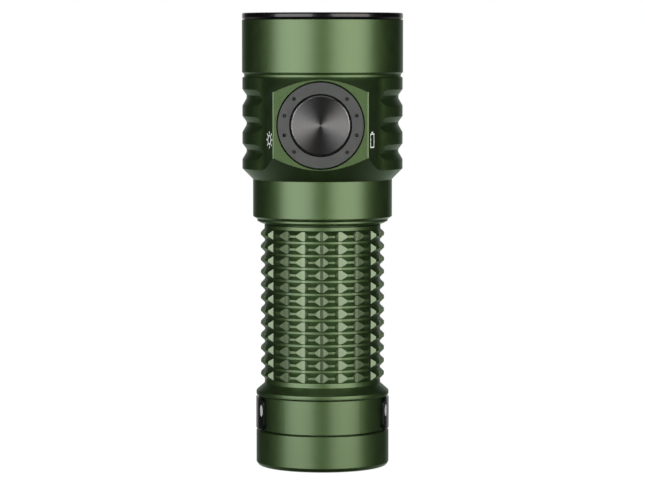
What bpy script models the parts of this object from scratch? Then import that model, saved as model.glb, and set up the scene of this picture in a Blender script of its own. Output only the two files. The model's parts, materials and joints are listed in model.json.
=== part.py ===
"""Compact tactical flashlight: a machined head with a side switch on a raised boss, a knurled grip
tube holding one 18500 cell, a screw-on magnetic tail cap and a pocket clip.

Metres, +Z up. The light stands on its tail: the origin is the centre of the tail face, +Z is the
beam and the side switch looks along -Y. Dimensions below are millimetres unless they say otherwise.
"""

import math

import bmesh
import bpy

MM = 0.001
ROUND = 32  # facets round a main turned piece
FINE = 24  # facets round a middling piece
SMALL = 12  # facets round a screw, a pin or a wire hole
TINY = 8

# Driving dimensions
TOTAL_LENGTH = 93.0
HEAD_RADIUS = 16.5
RIDGE_RADIUS = 16.43
VALLEY_RADIUS = 15.57
NECK_RADIUS = 14.27
HEAD_TOP = 91.7
HEAD_BOTTOM = 49.9

TUBE_TOP = 58.9
TUBE_BOTTOM = 2.9
TUBE_SHOULDER = 49.7  # where the front thread ends and the neck begins
TUBE_BORE = 9.5
FRONT_THREAD = 11.0
REAR_THREAD = 11.6
TUBE_NECK = 11.92
THREAD_PLAY = 0.3

RIDGES = 12  # turned ridges of the grip
RIDGE_PITCH = 2.615
TOP_RIDGE = 47.6
RIDGE_CREST = 12.73
RIDGE_ROOT = 11.86
RIDGE_HALF = 1.08  # half of a ridge's width at its root

CLIP_SEAT = 12.95
SEAT_BOTTOM = 7.65
SEAT_TOP = 14.1
TAIL_RADIUS = 13.63
TAIL_TOP = 7.4
TAIL_WALL = 1.4

BOSS_FACE = 16.6  # distance of the flat switch face from the axis
BOSS_HALF_WIDTH = 9.82
BOSS_SLOPE = math.radians(22)  # of the boss's side walls, from straight back
BOSS_RADIUS = 19.3
BOSS_LOW = 61.25
BOSS_HIGH = 79.65
SWITCH_Z = 70.4
POCKET_RADIUS = 8.82
POCKET_FLOOR = 12.4
BUTTON_FACE = 16.9
BUTTON_RADIUS = 6.0
INDICATOR_CIRCLE = 7.5
INDICATOR_ANGLES = (-45, -15, 15, 45)  # degrees from horizontal, on each side

CAVITY = 11.2  # the bore that the reflector stands in
SHELF_TOP = 70.0
SHELF_BOTTOM = 67.2
DRIVER_BORE = 11.0
FOCUS_Z = 69.75  # the vertex of the reflector's parabola
PARABOLA = 10.09  # radius squared over height above the vertex
REFLECTOR_WALL = 0.8
LED_BOARD_RADIUS = 9.0
LED_SCREW_X = 7.3
WIRE_X = 2.0
WIRE_Y = 7.3

CLIP_OPENING = 61.5  # degrees each side of the front, where the clip's collar is open
CLIP_PIVOT = (13.5, 14.15)  # y and z of the line that the clip's arm flexes about

GREEN = (0.055, 0.11, 0.035)
BLACK = (0.012, 0.011, 0.012)
COPPER = (0.55, 0.26, 0.13)
BRASS = (0.62, 0.45, 0.18)
NICKEL = (0.55, 0.54, 0.52)
RUBBER = (0.02, 0.02, 0.02)
BOARD_GREEN = (0.01, 0.12, 0.05)
BOARD_WHITE = (0.75, 0.75, 0.72)


def clear_scene():
    for obj in list(bpy.data.objects):
        bpy.data.objects.remove(obj, do_unlink=True)


def collection(name):
    made = bpy.data.collections.new(name)
    bpy.context.scene.collection.children.link(made)
    return made


clear_scene()
PARTS = collection("tactical_flashlight")
CUTTERS = collection("cutters")


def material(name, colour, roughness, metallic):
    made = bpy.data.materials.new(name)
    made.use_nodes = True
    shader = made.node_tree.nodes["Principled BSDF"]
    shader.inputs["Base Color"].default_value = (*colour, 1)
    shader.inputs["Roughness"].default_value = roughness
    shader.inputs["Metallic"].default_value = metallic
    made.diffuse_color = (*colour, 1)
    return made


def add(name, mesh, look):
    """A part of the light, where look is (colour, roughness, metallic), or a cutter where it is None."""
    obj = bpy.data.objects.new(name, mesh)
    if look is None:
        CUTTERS.objects.link(obj)
        obj.hide_render = True
        obj.display_type = "WIRE"
    else:
        PARTS.objects.link(obj)
        mesh.materials.clear()
        mesh.materials.append(material(name, *look))
    mesh.shade_smooth()
    mesh.set_sharp_from_angle(angle=math.radians(35))
    return obj


def solid_from(guide, name):
    """The evaluated mesh of a guide object, welded, with the guide removed."""
    bpy.context.scene.collection.objects.link(guide)
    graph = bpy.context.evaluated_depsgraph_get()
    mesh = bpy.data.meshes.new_from_object(guide.evaluated_get(graph))
    mesh.name = name
    bpy.data.objects.remove(guide)
    shape = bmesh.new()
    shape.from_mesh(mesh)
    bmesh.ops.remove_doubles(shape, verts=shape.verts, dist=1e-6)
    shape.to_mesh(mesh)
    shape.free()
    return mesh


def turned(name, profile, look, segments=ROUND):
    """A profile of (radius, height) points turned about Z. It runs down the outer side, and one that
    doesn't start on the axis closes by running back up the inner side."""
    points = [(radius * MM, 0, height * MM) for radius, height in profile]
    edges = [(i, i + 1) for i in range(len(points) - 1)]
    if profile[0][0] > 0:
        edges.append((len(points) - 1, 0))
    line = bpy.data.meshes.new(name + "_profile")
    line.from_pydata(points, edges, [])
    guide = bpy.data.objects.new(name + "_guide", line)
    screw = guide.modifiers.new("Turn", "SCREW")
    screw.steps = segments
    screw.render_steps = segments
    screw.use_merge_vertices = True
    screw.merge_threshold = 1e-6
    return add(name, solid_from(guide, name), look)


def ring(name, inner, outer, low, high, look, segments=ROUND):
    return turned(name, [(outer, high), (outer, low), (inner, low), (inner, high)], look, segments)


def disc(name, radius, low, high, look, segments=ROUND):
    return turned(name, [(0, high), (radius, high), (radius, low), (0, low)], look, segments)


def block(name, size, centre, look):
    shape = bmesh.new()
    bmesh.ops.create_cube(shape, size=MM)
    bmesh.ops.scale(shape, vec=size, verts=shape.verts)
    mesh = bpy.data.meshes.new(name)
    shape.to_mesh(mesh)
    shape.free()
    obj = add(name, mesh, look)
    obj.location = [value * MM for value in centre]
    return obj


def torus(name, radius, thickness, height, look, segments=ROUND):
    """An O-ring: a round section turned about Z."""
    section = [
        (
            radius + thickness * math.cos(-math.tau * i / TINY),
            height + thickness * math.sin(-math.tau * i / TINY),
        )
        for i in range(TINY)
    ]
    return turned(name, section, look, segments)


def plate(name, outline, low, high, look):
    """A flat outline in X and Y, from one height to another."""
    curve = bpy.data.curves.new(name, "CURVE")
    curve.dimensions = "2D"
    curve.fill_mode = "BOTH"
    curve.extrude = (high - low) / 2 * MM
    spline = curve.splines.new("POLY")
    spline.points.add(len(outline) - 1)
    for point, (x, y) in zip(spline.points, outline):
        point.co = (x * MM, y * MM, 0, 1)
    spline.use_cyclic_u = True
    mesh = solid_from(bpy.data.objects.new(name + "_guide", curve), name)
    obj = add(name, mesh, look)
    obj.location.z = (low + high) / 2 * MM
    return obj


def wire(name, route, radius, look):
    """A round wire along a list of points."""
    curve = bpy.data.curves.new(name, "CURVE")
    curve.dimensions = "3D"
    curve.bevel_depth = radius * MM
    curve.bevel_resolution = 2
    curve.use_fill_caps = True
    spline = curve.splines.new("POLY")
    spline.points.add(len(route) - 1)
    for point, place in zip(spline.points, route):
        point.co = (*[value * MM for value in place], 1)
    return add(name, solid_from(bpy.data.objects.new(name + "_guide", curve), name), look)


def coil(name, radii, heights, turns, thickness, look, steps=14):
    """A compression spring, which goes from one radius and height to another."""
    count = turns * steps
    route = []
    for i in range(count + 1):
        along = i / count
        radius = radii[0] + (radii[1] - radii[0]) * along
        angle = math.tau * turns * along
        height = heights[0] + (heights[1] - heights[0]) * along
        route.append((radius * math.cos(angle), radius * math.sin(angle), height))
    return wire(name, route, thickness, look)


def strip(name, route, widths, thickness, look):
    """A band across X that follows points of (y, z), each with its own width."""
    shape = bmesh.new()
    edges = []
    for (y, z), width in zip(route, widths):
        ends = [shape.verts.new((side * width / 2 * MM, y * MM, z * MM)) for side in (-1, 1)]
        edges.append(shape.edges.new(ends))
    bmesh.ops.bridge_loops(shape, edges=edges)
    bmesh.ops.recalc_face_normals(shape, faces=shape.faces)
    mesh = bpy.data.meshes.new(name)
    shape.to_mesh(mesh)
    shape.free()
    obj = add(name, mesh, look)
    solidify = obj.modifiers.new("Thickness", "SOLIDIFY")
    solidify.thickness = thickness * MM
    solidify.offset = 0
    return obj


def boolean(obj, other, operation="DIFFERENCE"):
    modifier = obj.modifiers.new(other.name, "BOOLEAN")
    modifier.operation = operation
    modifier.solver = "EXACT"
    modifier.object = other
    return obj


def face_front(*objects):
    """Turns pieces made about Z to look along -Y, centred on the side switch."""
    for obj in objects:
        obj.rotation_euler.x = math.pi / 2
        obj.location.z = SWITCH_Z * MM


def parent_at(empty_name, place, objects):
    """Puts a moving group under an empty on its joint, where the pieces already stand."""
    empty = bpy.data.objects.new(empty_name, None)
    empty.empty_display_size = 0.005
    empty.location = [value * MM for value in place]
    PARTS.objects.link(empty)
    bpy.context.view_layer.update()
    for obj in objects:
        obj.parent = empty
        obj.matrix_parent_inverse = empty.matrix_world.inverted()
    return empty


def boss():
    """The raised pad round the switch: a turned ring with conical ends, kept only inside a wedge."""
    rise = BOSS_RADIUS - RIDGE_RADIUS
    inner = CAVITY + 2.2
    sink = RIDGE_RADIUS - inner
    pad = turned(
        "boss_ring",
        [
            (inner, BOSS_HIGH),
            (RIDGE_RADIUS, BOSS_HIGH),
            (BOSS_RADIUS, BOSS_HIGH - rise),
            (BOSS_RADIUS, BOSS_LOW + rise),
            (RIDGE_RADIUS, BOSS_LOW),
            (inner, BOSS_LOW + sink / 2),
        ],
        None,
    )
    depth = 9.1
    back_half = BOSS_HALF_WIDTH + depth * math.tan(BOSS_SLOPE)
    wedge = plate(
        "boss_wedge",
        [
            (-BOSS_HALF_WIDTH, -BOSS_FACE),
            (BOSS_HALF_WIDTH, -BOSS_FACE),
            (back_half, depth - BOSS_FACE),
            (-back_half, depth - BOSS_FACE),
        ],
        BOSS_LOW - 2,
        BOSS_HIGH + 2,
        None,
    )
    return boolean(pad, wedge, "INTERSECT")


def head_outline():
    """The head's outer side, from the bezel seat down to the tube: a plain cylinder, a groove, four
    ridges between three valleys, a taper and the neck."""
    ridges = [(79.7, 77.4), (74.0, 71.9), (68.6, 66.3), (63.05, 61.2)]
    outline = [
        (HEAD_RADIUS - 0.25, HEAD_TOP),
        (HEAD_RADIUS, HEAD_TOP - 0.25),
        (HEAD_RADIUS, 80.8),
        (HEAD_RADIUS - 0.5, 80.6),
        (HEAD_RADIUS - 0.5, 80.1),
    ]
    for top, bottom in ridges:
        outline += [(RIDGE_RADIUS, top), (RIDGE_RADIUS, bottom)]
        if bottom != ridges[-1][1]:
            outline += [(VALLEY_RADIUS, bottom - 1.2), (VALLEY_RADIUS, bottom - 1.8)]
    return outline + [
        (NECK_RADIUS, 59.0),
        (NECK_RADIUS, 51.4),
        (13.46, 50.7),
        (12.2, HEAD_BOTTOM),
    ]


def head():
    bore = FRONT_THREAD + THREAD_PLAY
    inside = [
        (bore, HEAD_BOTTOM),
        (bore, 59.05),
        (DRIVER_BORE, 59.05),
        (DRIVER_BORE, SHELF_BOTTOM),
        (1.5, SHELF_BOTTOM),
        (1.5, SHELF_TOP),
        (CAVITY, SHELF_TOP),
        (CAVITY, 79.5),
        (14.75, 87.0),
        (14.75, 88.2),
        (15.35, 88.2),
        (15.35, HEAD_TOP),
    ]
    green = (GREEN, 0.42, 0.85)
    body = turned("head_housing", head_outline() + inside, green)
    boolean(body, boss(), "UNION")
    pocket = disc("switch_pocket", POCKET_RADIUS, POCKET_FLOOR, 22, None)
    face_front(pocket)
    boolean(body, pocket)
    boolean(body, block("flex_slot", (5.0, 4.0, 1.2), (0, -11.8, 65.1), None))
    for side in (-1, 1):
        hole = disc(f"screw_hole_{side}", 0.95, 68.0, 75.0, None, SMALL)
        hole.location.x = side * LED_SCREW_X * MM
        boolean(body, hole)
        channel = disc(f"wire_hole_{side}", 0.9, 66.0, 75.0, None, SMALL)
        channel.location = (side * WIRE_X * MM, WIRE_Y * MM, 0)
        boolean(body, channel)
    return body


def bezel():
    return turned(
        "bezel_ring",
        [
            (16.25, TOTAL_LENGTH),
            (HEAD_RADIUS, TOTAL_LENGTH - 0.25),
            (HEAD_RADIUS, 92.25),
            (16.25, 92.0),
            (15.2, 92.0),
            (15.2, 89.2),
            (14.75, 89.2),
            (14.75, 92.0),
            (13.6, 92.0),
            (13.6, 92.3),
            (14.3, TOTAL_LENGTH),
        ],
        (BLACK, 0.35, 0.6),
    )


def reflector():
    """A parabolic mirror with a thin wall, a flat base round the emitter and a rim flange."""
    low, high = 71.9, 88.35
    heights = [low + (high - low) * (i / 7) ** 1.5 for i in range(8)]

    def bowl(height):
        return math.sqrt(PARABOLA * (height - FOCUS_Z))

    outer = [(bowl(z) + REFLECTOR_WALL, z) for z in reversed(heights)]
    inner = [(bowl(z), z) for z in heights]
    rim = [(bowl(89.0), 89.0), (15.0, 89.0), (15.0, high)]
    return turned("reflector", rim + outer + inner, ((0.9, 0.9, 0.9), 0.05, 1.0))


def led_parts():
    board = ring("led_board", 0.8, LED_BOARD_RADIUS, 70.15, 71.05, (COPPER, 0.35, 0.9))
    for side in (-1, 1):
        hole = disc(f"board_screw_hole_{side}", 0.95, 69.0, 73.0, None, SMALL)
        hole.location.x = side * LED_SCREW_X * MM
        boolean(board, hole)
        channel = disc(f"board_wire_hole_{side}", 0.9, 69.0, 73.0, None, SMALL)
        channel.location = (side * WIRE_X * MM, WIRE_Y * MM, 0)
        boolean(board, channel)
    ring("led_gasket", 3.75, 4.6, 71.15, 71.8, (BOARD_WHITE, 0.6, 0.0), FINE)

    emitter = block("led_emitter", (5.0, 5.0, 0.7), (0, 0, 71.5), ((0.85, 0.8, 0.45), 0.3, 0.0))
    dome = turned(
        "led_dome",
        [(0, 1.55), (0.95, 1.35), (1.75, 0.85), (2.2, 0), (2.2, -0.2), (0, -0.2)],
        None,
        SMALL,
    )
    dome.location.z = 71.85 * MM
    boolean(emitter, dome, "UNION")

    for side, label in ((-1, "left"), (1, "right")):
        screw = turned(
            f"led_screw_{label}",
            [(0, 71.9), (1.0, 71.9), (1.3, 71.6), (1.3, 71.15), (0.75, 71.15), (0.75, 68.2), (0, 68.2)],
            (NICKEL, 0.3, 1.0),
            SMALL,
        )
        screw.location.x = side * LED_SCREW_X * MM

    for side, label, colour in ((-1, "black", RUBBER), (1, "red", (0.6, 0.02, 0.01))):
        x = side * WIRE_X
        route = [(x, WIRE_Y, 63.35), (x, WIRE_Y, 70.8), (x, 7.15, 71.4), (x, 6.7, 71.7), (x, 6.1, 71.6)]
        wire(f"led_wire_{label}", route, 0.45, (colour, 0.5, 0.0))


def lens_parts():
    ring_height = 91.5
    torus("lens_o_ring", 14.0, 0.4, ring_height, (RUBBER, 0.6, 0.0))
    disc("front_lens", 14.6, 89.15, 91.0, ((0.85, 0.9, 0.9), 0.02, 0.0))


def driver_parts():
    top = 63.2
    disc("driver_board", 10.8, top - 1.5, top, (BOARD_GREEN, 0.45, 0.0))
    ring("driver_retaining_ring", 8.9, 10.8, 59.95, 61.5, (BRASS, 0.3, 1.0))
    raised = top + 0.1
    block("driver_inductor", (6.4, 6.0, 2.8), (-3.6, 0.6, raised + 1.4), ((0.08, 0.08, 0.085), 0.5, 0.2))
    block("driver_controller_chip", (4.0, 4.0, 0.9), (4.4, 2.4, raised + 0.45), (BLACK, 0.4, 0.0))
    block("driver_power_transistor", (3.3, 3.3, 1.0), (4.4, -2.4, raised + 0.5), (BLACK, 0.4, 0.0))
    block("driver_capacitor", (3.2, 2.5, 2.0), (0, -6.0, raised + 1.0), ((0.5, 0.38, 0.25), 0.4, 0.0))
    coil("head_contact_spring", (3.6, 2.2), (61.25, 58.7), 3, 0.3, (BRASS, 0.25, 1.0))


def switch_ring():
    """The flat ring round the button, pierced by the indicator holes."""
    flat = ring("indicator_ring", 6.3, 8.6, 15.2, BOSS_FACE, ((0.095, 0.1, 0.1), 0.45, 0.7))
    for side in (0, 180):
        for angle in INDICATOR_ANGLES:
            turn = math.radians(side + angle)
            hole = disc(f"indicator_hole_{side}_{angle}", 0.3, 14.0, 18.0, None, TINY)
            hole.location = (
                INDICATOR_CIRCLE * math.cos(turn) * MM,
                0,
                (SWITCH_Z + INDICATOR_CIRCLE * math.sin(turn)) * MM,
            )
            hole.rotation_euler.x = math.pi / 2
            boolean(flat, hole)
    return flat


def button():
    """The metal cap with its retaining flange and the stem that reaches the tactile switch."""
    return turned(
        "button_cap",
        [
            (0, BUTTON_FACE),
            (BUTTON_RADIUS - 0.2, BUTTON_FACE),
            (BUTTON_RADIUS, BUTTON_FACE - 0.2),
            (BUTTON_RADIUS, 15.05),
            (6.9, 15.05),
            (6.9, 14.65),
            (5.2, 14.65),
            (5.2, 16.0),
            (1.2, 16.0),
            (1.2, 15.0),
            (0, 15.0),
        ],
        ((0.32, 0.31, 0.32), 0.25, 1.0),
    )


def switch_parts():
    flat = switch_ring()
    cap = button()
    plunger = disc("switch_plunger", 0.8, 14.0, 14.85, ((0.7, 0.68, 0.6), 0.5, 0.0), SMALL)
    guide = ring("light_guide", 7.05, 8.5, 14.15, 15.05, ((0.8, 0.85, 0.85), 0.15, 0.0))
    seal = turned(
        "button_seal",
        [(3.4, 15.15), (3.4, 13.75), (6.9, 13.75), (6.9, 13.25), (3.0, 13.25), (3.0, 14.75), (1.45, 14.75), (1.45, 15.15)],
        (RUBBER, 0.7, 0.0),
        FINE,
    )
    board = disc("switch_board", 8.3, 12.5, 13.1, (BOARD_GREEN, 0.45, 0.0))
    well = disc("plunger_well", 1.1, 13.35, 16.0, None, SMALL)
    face_front(flat, cap, plunger, guide, seal, board, well)
    tact = block("tactile_switch", (4.2, 1.25, 3.4), (0, -13.775, SWITCH_Z), ((0.05, 0.05, 0.055), 0.4, 0.3))
    boolean(tact, well)
    number = 0
    for side in (0, 180):
        for angle in INDICATOR_ANGLES:
            number += 1
            turn = math.radians(side + angle)
            x = INDICATOR_CIRCLE * math.cos(turn)
            z = SWITCH_Z + INDICATOR_CIRCLE * math.sin(turn)
            light = block(f"indicator_led_{number}", (0.8, 0.5, 0.5), (x, -13.4, z), ((0.9, 0.9, 0.8), 0.3, 0.0))
            light.rotation_euler.y = -turn
    route = [(-12.42, 65.1), (-10.4, 65.1), (-9.7, 64.6), (-9.5, 63.4)]
    strip("switch_flex_cable", route, [4.0] * len(route), 0.15, ((0.35, 0.16, 0.03), 0.4, 0.0))
    return [cap, plunger]


def tube_outline():
    """The tube's outer side: front thread, neck, twelve ridges, a flared rim, the clip's seat and the
    rear thread, each thread with an O-ring groove."""
    outline = [
        (FRONT_THREAD - 0.3, TUBE_TOP),
        (FRONT_THREAD, TUBE_TOP - 0.3),
        (FRONT_THREAD, 52.1),
        (10.35, 52.1),
        (10.35, 51.1),
        (FRONT_THREAD, 51.1),
        (FRONT_THREAD, TUBE_SHOULDER),
        (TUBE_NECK, TUBE_SHOULDER),
        (TUBE_NECK, 48.8),
    ]
    for i in range(RIDGES):
        crest = TOP_RIDGE - RIDGE_PITCH * i
        outline += [(RIDGE_ROOT, crest + RIDGE_HALF), (RIDGE_CREST, crest), (RIDGE_ROOT, crest - RIDGE_HALF)]
    return outline + [
        (11.9, 17.0),
        (13.0, 15.8),
        (TAIL_RADIUS, 15.0),
        (TAIL_RADIUS, 14.5),
        (13.3, SEAT_TOP),
        (CLIP_SEAT, SEAT_TOP),
        (CLIP_SEAT, SEAT_BOTTOM),
        (REAR_THREAD, SEAT_BOTTOM),
        (REAR_THREAD, 7.15),
        (10.8, 7.15),
        (10.8, 6.15),
        (REAR_THREAD, 6.15),
        (REAR_THREAD, TUBE_BOTTOM + 0.3),
        (REAR_THREAD - 0.3, TUBE_BOTTOM),
    ]


def tube_parts():
    bore = [(TUBE_BORE, TUBE_BOTTOM), (TUBE_BORE, TUBE_TOP)]
    turned("body_tube", tube_outline() + bore, (GREEN, 0.42, 0.85))
    torus("front_o_ring", 10.85, 0.4, 51.6, (RUBBER, 0.6, 0.0))
    torus("rear_o_ring", 11.35, 0.45, 6.65, (RUBBER, 0.6, 0.0))


def battery_parts():
    """One 18500 cell: a sleeved can, a ring of card round its positive end and the raised contact."""
    top = 56.9
    can = turned(
        "battery_cell",
        [(0, top - 0.5), (8.8, top - 0.5), (9.2, top - 0.9), (9.2, 7.9), (8.9, 7.6), (0, 7.6)],
        ((0.02, 0.03, 0.05), 0.35, 0.2),
        FINE,
    )
    washer = ring("battery_insulator", 3.9, 8.6, top - 0.45, top - 0.1, (BOARD_WHITE, 0.8, 0.0), FINE)
    cap = turned(
        "battery_positive_cap",
        [(0, 58.2), (2.7, 58.2), (3.0, 57.9), (3.0, top - 0.45), (0, top - 0.45)],
        (NICKEL, 0.25, 1.0),
        FINE,
    )
    return [can, washer, cap]


def tail_parts():
    """The screw-on tail: its cap, the flush charging contact, the magnet that holds the light to steel
    and to its charger, and the board whose spring presses on the cell."""
    bore = REAR_THREAD + THREAD_PLAY
    cap = turned(
        "tail_cap",
        [
            (13.35, TAIL_TOP),
            (TAIL_RADIUS, TAIL_TOP - 0.3),
            (TAIL_RADIUS, 0.7),
            (13.3, 0.2),
            (12.7, 0),
            (6.05, 0),
            (6.05, TAIL_WALL),
            (bore, TAIL_WALL),
            (bore, TAIL_TOP),
        ],
        (GREEN, 0.42, 0.85),
    )
    return [
        cap,
        disc("charge_contact", 5.0, 0, 1.25, (BRASS, 0.25, 1.0)),
        ring("contact_insulator", 5.15, 5.9, 0, 1.4, (BLACK, 0.5, 0.0)),
        disc("tail_magnet", 5.5, 1.55, 3.25, (NICKEL, 0.2, 1.0)),
        ring("magnet_holder", 5.65, 8.9, 1.55, 3.25, (BLACK, 0.5, 0.0)),
        disc("tail_board", 9.0, 3.4, 4.2, (BOARD_GREEN, 0.45, 0.0)),
        coil("tail_spring", (5.6, 3.4), (4.65, 7.2), 3, 0.32, (BRASS, 0.25, 1.0)),
    ]


def clip_collar():
    """The open spring-steel band that snaps into the seat ahead of the tail cap."""
    band = turned(
        "clip_collar",
        [(13.7, 13.85), (13.7, 7.9), (13.55, 7.75), (13.05, 7.75), (13.05, 14.0), (13.55, 14.0)],
        (BLACK, 0.15, 0.6),
    )
    reach = 30.0
    angle = math.radians(CLIP_OPENING)
    mouth = [
        (0, 0),
        (-reach * math.sin(angle), -reach * math.cos(angle)),
        (-reach * math.sin(angle), -reach),
        (reach * math.sin(angle), -reach),
        (reach * math.sin(angle), -reach * math.cos(angle)),
    ]
    return boolean(band, plate("clip_mouth", mouth, 5.0, 17.0, None))


def clip_arm():
    """The sprung arm: it steps out past the tube's rim, lies along the grip and flares at its tip."""
    route = [(13.9, 14.4), (14.7, 15.3), (15.3, 18.0), (15.9, 24.0), (15.5, 34.0), (14.4, 44.0), (13.75, 47.5), (14.1, 50.0), (15.9, 53.0)]
    widths = [9.0, 9.0, 8.8, 8.4, 7.8, 7.2, 7.0, 6.8, 6.0]
    return strip("clip_arm", route, widths, 0.9, (BLACK, 0.15, 0.6))


def build():
    head()
    bezel()
    lens_parts()
    reflector()
    led_parts()
    driver_parts()
    pressed = switch_parts()
    tube_parts()
    carried = battery_parts()
    turning = tail_parts()
    collar = clip_collar()
    arm = clip_arm()
    parent_at("button_axis", (0, -BUTTON_FACE, SWITCH_Z), pressed)
    battery_axis = parent_at("battery_travel_axis", (0, 0, 0), carried)
    tail_axis = parent_at("tail_cap_axis", (0, 0, 0), turning)
    tail_axis.parent = battery_axis
    collar_axis = parent_at("clip_turn_axis", (0, 0, 0), [collar])
    arm_axis = parent_at("clip_flex_axis", (0, *CLIP_PIVOT), [arm])
    arm_axis.parent = collar_axis


build()
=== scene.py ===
"""The looks of the compact tactical flashlight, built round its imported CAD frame.

Sizes in this script are millimetres in the frame's own axes, and meshes are scaled to metres when
they are made. The light stands on its tail, its beam points along +Z and its switch looks along -Y.
An angle called a turn is measured about the beam from the switch towards +X.
"""

import json
import math

import bmesh
import bpy
import numpy as np
from mathutils import Matrix, Vector

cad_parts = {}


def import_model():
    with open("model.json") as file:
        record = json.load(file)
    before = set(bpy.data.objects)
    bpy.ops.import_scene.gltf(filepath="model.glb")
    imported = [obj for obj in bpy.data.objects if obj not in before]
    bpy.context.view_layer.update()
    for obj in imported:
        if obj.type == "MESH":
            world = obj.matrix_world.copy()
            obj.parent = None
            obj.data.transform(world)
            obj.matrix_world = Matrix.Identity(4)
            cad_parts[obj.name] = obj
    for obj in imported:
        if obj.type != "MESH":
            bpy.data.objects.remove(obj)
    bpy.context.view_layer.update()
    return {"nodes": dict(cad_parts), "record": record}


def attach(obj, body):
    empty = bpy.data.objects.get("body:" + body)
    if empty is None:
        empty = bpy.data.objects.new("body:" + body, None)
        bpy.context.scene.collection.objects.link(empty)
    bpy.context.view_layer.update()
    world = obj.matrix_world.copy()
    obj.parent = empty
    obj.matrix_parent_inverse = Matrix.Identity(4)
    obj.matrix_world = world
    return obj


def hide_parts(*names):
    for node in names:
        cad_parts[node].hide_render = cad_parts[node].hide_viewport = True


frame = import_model()

MM = 0.001
SEGMENTS = 192  # facets round a turned piece
SHARP = math.radians(30)  # edges that turn more than this stay sharp

BODIES = frame["record"]["behaviour"]["bodies"]
BODY_OF = {node: body for body, nodes in BODIES.items() for node in nodes}
SLOT_OF = {part["node"]: part["material_slot"] for part in frame["record"]["subparts"]}

SWITCH_Z = 70.4  # height of the switch's axis
BOSS_FACE = 16.6  # distance of the boss's flat face from the beam's axis
LED_BOARD_TOP = 71.05


# ---- Materials ----


class Look:
    """A Principled material whose patterns are laid out in millimetres of the object's own space."""

    def __init__(self, name, **sockets):
        """Sockets are the shader's own, with _ for a space in their names."""
        self.material = bpy.data.materials.new(name)
        self.material.use_nodes = True
        self.tree = self.material.node_tree
        self.shader = self.tree.nodes["Principled BSDF"]
        for socket, value in sockets.items():
            self.shader.inputs[socket.replace("_", " ")].default_value = value
        coordinates = self.tree.nodes.new("ShaderNodeTexCoord")
        self.place = self.node("ShaderNodeMapping", Vector=coordinates.outputs["Object"], Scale=(1000,) * 3)

    def node(self, kind, options=(), **inputs):
        """Adds a node, with its options and inputs set, and returns its first output."""
        made = self.tree.nodes.new(kind)
        for name, value in dict(options).items():
            setattr(made, name, value)
        for name, value in inputs.items():
            self.join(value, made.inputs[name.replace("_", " ")])
        return made.outputs[0]

    def join(self, value, socket):
        """Links a node's output to a socket, or sets the socket to a plain value."""
        if isinstance(value, bpy.types.NodeSocket):
            self.tree.links.new(value, socket)
        else:
            socket.default_value = value

    def noise(self, size, detail=2.0, stretch=(1, 1, 1)):
        """Grey noise whose blotches are about this many millimetres across."""
        stretched = self.node("ShaderNodeMapping", Vector=self.place, Scale=stretch)
        return self.node("ShaderNodeTexNoise", Vector=stretched, Scale=1 / size, Detail=detail)

    def spread(self, value, low, high, start=0.3, end=0.7):
        """Maps a value, from start to end, onto low to high."""
        made = self.tree.nodes.new("ShaderNodeMapRange")
        limits = {"Value": value, "From Min": start, "From Max": end, "To Min": low, "To Max": high}
        for name, given in limits.items():
            self.join(given, made.inputs[name])
        return made.outputs[0]

    def blend(self, factor, first, second):
        """A colour between two colours."""
        made = self.tree.nodes.new("ShaderNodeMix")
        made.data_type = "RGBA"
        self.join(factor, made.inputs["Factor"])
        for socket, colour in ((made.inputs[6], first), (made.inputs[7], second)):
            self.join(colour if isinstance(colour, bpy.types.NodeSocket) else (*colour, 1), socket)
        return made.outputs[2]

    def math(self, operation, first, second=0.0):
        """One arithmetic operation on one or two values."""
        made = self.tree.nodes.new("ShaderNodeMath")
        made.operation = operation
        self.join(first, made.inputs[0])
        self.join(second, made.inputs[1])
        return made.outputs[0]

    def axis(self, name):
        """One coordinate of the place, in millimetres."""
        made = self.tree.nodes.new("ShaderNodeSeparateXYZ")
        self.join(self.place, made.inputs[0])
        return made.outputs[name]

    def colour(self, value):
        """Sets what the base colour comes from."""
        self.join(value, self.shader.inputs["Base Color"])

    def roughness(self, value):
        """Sets what the roughness comes from."""
        self.join(value, self.shader.inputs["Roughness"])

    def bump(self, height, depth, strength=1.0):
        """Bumps whose height of one stands for this many millimetres."""
        normal = self.node("ShaderNodeBump", Height=height, Distance=depth * MM, Strength=strength)
        self.join(normal, self.shader.inputs["Normal"])


def grained(name, dark, light, grain, rough, depth, **sockets):
    """A look with a broad and a fine mottle of colour, roughness and height.

    The colour goes from dark to light and the roughness over the range rough. The grain is the
    size of the fine mottle and the depth its height, both in millimetres.
    """
    look = Look(name, **sockets)
    fine = look.noise(grain)
    broad = look.noise(grain * 14, detail=3.0)
    mottle = look.math("ADD", look.math("MULTIPLY", fine, 0.5), look.math("MULTIPLY", broad, 0.5))
    look.colour(look.blend(look.spread(mottle, 0, 1, 0.38, 0.62), dark, light))
    look.roughness(look.spread(mottle, rough[0], rough[1], 0.38, 0.62))
    look.bump(fine, depth)
    return look


def anodised_green():
    """Bead-blasted aluminium under a green anodised skin, which mirrors some light white."""
    return grained(
        "anodised_green", (0.080, 0.152, 0.038), (0.092, 0.172, 0.046), 0.16, (0.45, 0.51), 0.003,
        Metallic=1.0, Specular_Tint=(0.25, 0.60, 0.18, 1),
        Coat_Weight=1.0, Coat_Roughness=0.34, Coat_IOR=1.72,
    )


def anodised_cut():
    """The same skin where a cutter left the metal smoother than blasting does."""
    return grained(
        "anodised_cut", (0.108, 0.168, 0.070), (0.124, 0.190, 0.080), 0.12, (0.36, 0.42), 0.002,
        Metallic=1.0, Coat_Weight=1.0, Coat_Roughness=0.30, Coat_IOR=1.85,
    )


def anodised_black():
    """The bezel's smoother black skin."""
    return grained(
        "anodised_black", (0.014, 0.012, 0.014), (0.020, 0.017, 0.019), 0.2, (0.24, 0.30), 0.001,
        Metallic=0.9, Coat_Weight=1.0, Coat_Roughness=0.16, Coat_IOR=1.6,
    )


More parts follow.
